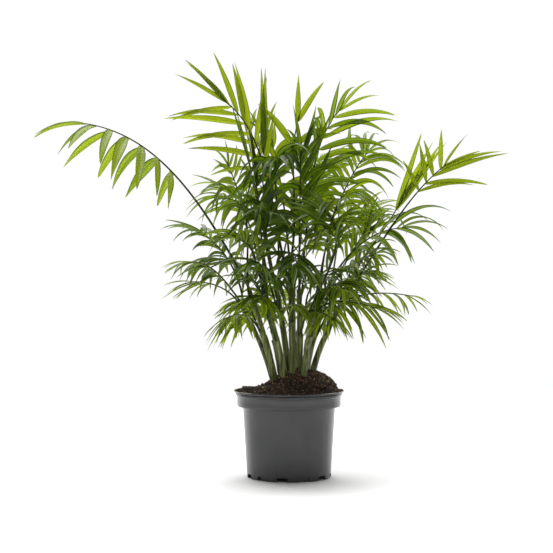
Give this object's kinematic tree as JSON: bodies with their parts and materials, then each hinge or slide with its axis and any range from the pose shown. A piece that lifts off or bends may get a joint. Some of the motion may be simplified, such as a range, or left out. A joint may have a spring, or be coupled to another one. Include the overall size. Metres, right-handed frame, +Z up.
{
  "type": "potted parlour palm",
  "caption": "Bushy parlour palm in a round dark grey grower's pot of soil, its slim green stems carrying arching feathered fronds: a standing houseplant.",
  "frame": {"origin": "middle of the pot's flat underside, on the surface it stands on", "axes": "+Z up, -Y towards the front seen in the picture, +X to its right"},
  "size_m": [0.5034, 0.2977, 0.4581],
  "materials": {
    "pot": "satin",
    "soil": "rough and crumbly",
    "stem": "satin",
    "frond_young": "satin, lets light through",
    "frond_middle": "satin",
    "frond_old": "satin"
  },
  "bodies": {
    "root": {"pot": "pot", "soil": "soil", "stem_01": "stem", "stem_02": "stem", "stem_03": "stem", "stem_04": "stem", "stem_05": "stem", "stem_06": "stem", "stem_07": "stem", "stem_08": "stem", "stem_09": "stem", "stem_10": "stem", "stem_11": "stem", "stem_12": "stem", "frond_01": "frond_young", "frond_02": "frond_young", "frond_03": "frond_young", "frond_04": "frond_young", "frond_05": "frond_middle", "frond_06": "frond_young", "frond_07": "frond_young", "frond_08": "frond_middle", "frond_09": "frond_young", "frond_10": "frond_middle", "frond_11": "frond_middle", "frond_12": "frond_middle", "frond_13": "frond_middle", "frond_14": "frond_young", "frond_15": "frond_middle", "frond_16": "frond_middle", "frond_17": "frond_middle", "frond_18": "frond_middle", "frond_19": "frond_middle", "frond_20": "frond_middle", "frond_21": "frond_middle", "frond_22": "frond_middle", "frond_23": "frond_middle", "frond_24": "frond_old", "frond_25": "frond_old", "frond_26": "frond_old", "frond_27": "frond_old", "frond_28": "frond_old", "frond_29": "frond_old", "frond_30": "frond_old", "frond_31": "frond_old", "frond_32": "frond_old", "frond_33": "frond_young", "frond_34": "frond_middle", "frond_35": "frond_middle", "frond_36": "frond_middle", "frond_37": "frond_middle", "frond_38": "frond_middle", "frond_39": "frond_middle", "frond_40": "frond_middle", "frond_41": "frond_old", "frond_42": "frond_old", "frond_43": "frond_old", "frond_44": "frond_middle", "frond_45": "frond_young", "frond_46": "frond_middle"}
  },
  "joints": []
}
